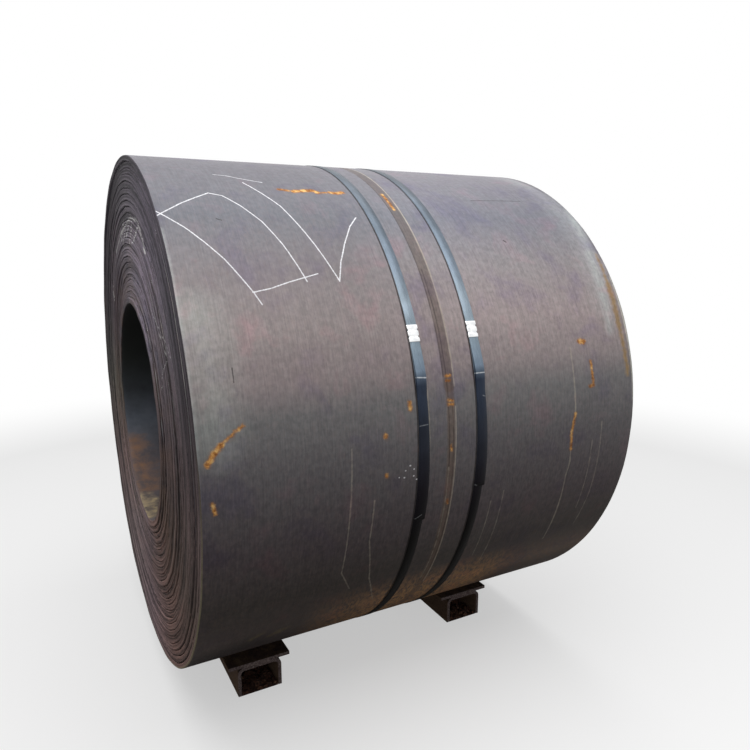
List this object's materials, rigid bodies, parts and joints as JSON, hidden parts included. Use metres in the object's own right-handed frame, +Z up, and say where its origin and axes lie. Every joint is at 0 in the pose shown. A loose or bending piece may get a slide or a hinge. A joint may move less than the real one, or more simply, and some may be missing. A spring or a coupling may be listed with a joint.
{
  "type": "steel coil",
  "caption": "Hot-rolled steel strip wound into a coil round an open bore, bound by steel straps with crimped seals, lying on two short steel bearers.",
  "frame": {"origin": "on the floor, under the middle of the coil's axis", "axes": "+X along the bore, towards the bearer that is shifted sideways; +Z up; the strap seals are on the -Y side"},
  "size_m": [1.5, 1.726, 1.8435],
  "materials": {
    "mill_scale_steel": "dark mill scale with light rust, satin",
    "strap_steel": "blue-black painted band, satin",
    "zinc_seal": "bright zinc plate",
    "rusty_bearer_steel": "old dark rust, matt"
  },
  "bodies": {
    "root": {"coil": "mill_scale_steel", "strap_left": "strap_steel", "strap_right": "strap_steel", "seal_left": "zinc_seal", "seal_right": "zinc_seal", "bearer_channel_left": "rusty_bearer_steel", "bearer_channel_right": "rusty_bearer_steel", "bearer_plate_left": "rusty_bearer_steel", "bearer_plate_right": "rusty_bearer_steel"}
  },
  "joints": []
}
